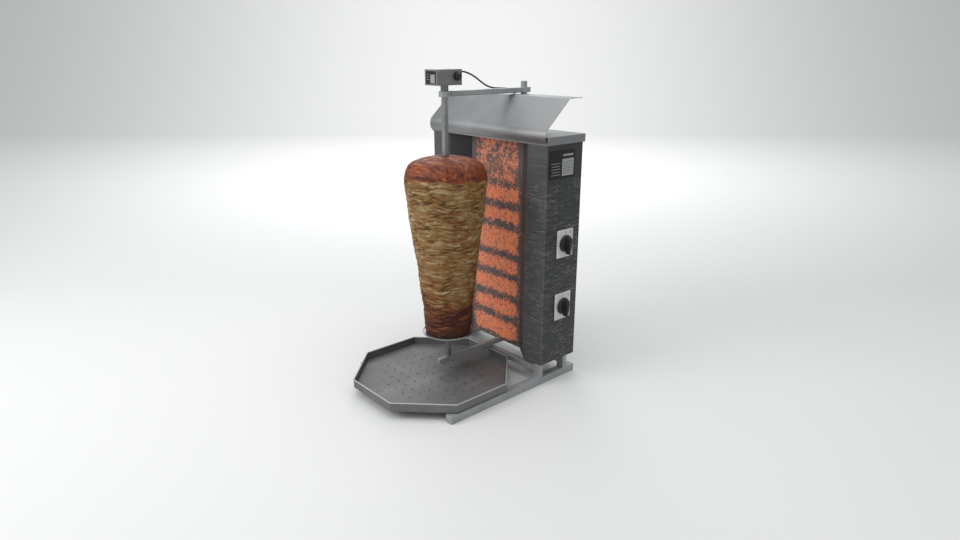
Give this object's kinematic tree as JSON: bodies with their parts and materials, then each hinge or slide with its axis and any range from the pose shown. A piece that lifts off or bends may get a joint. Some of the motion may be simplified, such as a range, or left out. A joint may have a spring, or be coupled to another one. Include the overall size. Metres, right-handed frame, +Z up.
{
  "type": "vertical rotisserie broiler",
  "caption": "Tabletop vertical rotisserie broiler: upright motor-driven spit with a meat cone, radiant heater cabinet with hood behind it, octagonal drip tray on a rail base.",
  "frame": {"origin": "middle of the whole object's bounding box in plan, on the table under the rails", "axes": "+Z up along the spit, -Y towards the cook in front of the tray, +X to the control side"},
  "size_m": [0.5095, 0.5917, 0.8865],
  "materials": {
    "frame_steel": "satin grey coat on steel tube",
    "tray_steel": "satin stainless sheet, slightly stained",
    "bright_steel": "brushed stainless bar and plate",
    "cabinet_steel": "satin stainless sheet with a fine horizontal ripple",
    "hood_steel": "smooth satin stainless sheet",
    "bush_bronze": "plain bearing bronze",
    "gear_brass": "machined brass",
    "motor_paint": "light grey satin coat",
    "motor_can": "plated steel can",
    "black_plastic": "black moulded plastic",
    "cord_rubber": "black flexible cord jacket",
    "label_plate": "printed plastic plate, plain blocks only",
    "bezel_metal": "light satin plate",
    "glow_pane": "radiant ceramic pane glowing orange in rows",
    "insulation": "compressed mineral fibre board",
    "heater_alloy": "oxidised sheathed element",
    "roast_meat": "browned stacked meat slices, greasy"
  },
  "bodies": {
    "stand": {"rail_left": "frame_steel", "rail_right": "frame_steel", "cross_tube_front": "frame_steel", "cross_tube_rear": "frame_steel", "post_front_left": "frame_steel", "post_rear_left": "frame_steel", "post_front_right": "frame_steel", "post_rear_right": "frame_steel", "lower_arm": "frame_steel", "mast": "frame_steel", "mast_cradle": "frame_steel", "mast_collar": "frame_steel", "upper_arm": "frame_steel", "spit_bush": "bright_steel", "arm_clamp_screw": "bright_steel", "cover_screw_right": "bright_steel", "cover_screw_left": "bright_steel", "side_panel_right": "cabinet_steel", "side_panel_left": "cabinet_steel", "rear_panel": "cabinet_steel", "bottom_plate": "cabinet_steel", "top_lid": "hood_steel", "hood": "hood_steel", "hood_bracket_left": "hood_steel", "hood_bracket_right": "hood_steel", "arm_bush": "bush_bronze", "motor_neck": "motor_paint", "motor_housing_base": "motor_paint", "motor_housing_cover": "motor_paint", "synchronous_motor": "motor_can", "motor_switch": "black_plastic", "motor_strain_relief": "black_plastic", "lid_cord_gland": "black_plastic", "mains_gland": "black_plastic", "power_switch_upper": "black_plastic", "power_switch_lower": "black_plastic", "motor_cord": "cord_rubber", "motor_label_plate": "label_plate", "data_label_plate": "label_plate", "bezel_upper": "bezel_metal", "bezel_lower": "bezel_metal", "radiant_pane": "glow_pane", "insulation_board": "insulation", "heater_element_1": "heater_alloy", "heater_element_2": "heater_alloy", "heater_element_3": "heater_alloy", "heater_element_4": "heater_alloy"},
    "spit": {"spit_rod": "bright_steel", "meat_plate": "bright_steel", "plate_hub": "bright_steel", "plate_thumb_screw": "bright_steel", "meat_cone": "roast_meat", "drive_coupling": "bright_steel", "output_gear": "gear_brass"},
    "pinion": {"motor_pinion": "gear_brass"},
    "tray": {"drip_tray": "tray_steel"},
    "insert": {"tray_insert": "tray_steel"},
    "knob_upper": {"control_knob_upper": "black_plastic"},
    "knob_lower": {"control_knob_lower": "black_plastic"},
    "motor_knob": {"motor_switch_knob": "black_plastic"}
  },
  "joints": [
    {"name": "spit_spin", "type": "hinge", "parent": "stand", "child": "spit", "pos_m": [0.00675, -0.0242, 0.4], "axis": [0, 0, 1], "continuous": true},
    {"name": "pinion_spin", "type": "hinge", "parent": "stand", "child": "pinion", "pos_m": [0.00675, -0.0462, 0.855], "axis": [0, 0, 1], "continuous": true},
    {"name": "tray_slide", "type": "slide", "parent": "stand", "child": "tray", "axis": [0, -1, 0], "range_m": [0, 0.2]},
    {"name": "insert_lift", "type": "slide", "parent": "tray", "child": "insert", "axis": [0, 0, 1], "range_m": [0, 0.02]},
    {"name": "upper_knob_turn", "type": "hinge", "parent": "stand", "child": "knob_upper", "pos_m": [0.23075, 0.2223, 0.4165], "axis": [1, 0, 0], "range_deg": [-225, 0]},
    {"name": "lower_knob_turn", "type": "hinge", "parent": "stand", "child": "knob_lower", "pos_m": [0.23075, 0.2223, 0.229], "axis": [1, 0, 0], "range_deg": [-225, 0]},
    {"name": "motor_knob_turn", "type": "hinge", "parent": "stand", "child": "motor_knob", "pos_m": [0.03275, -0.0027, 0.8695], "axis": [1, 0, 0], "range_deg": [-90, 0]}
  ],
  "couplings": [
    {"joint": "pinion_spin", "follows": "spit_spin", "ratio": -3}
  ]
}
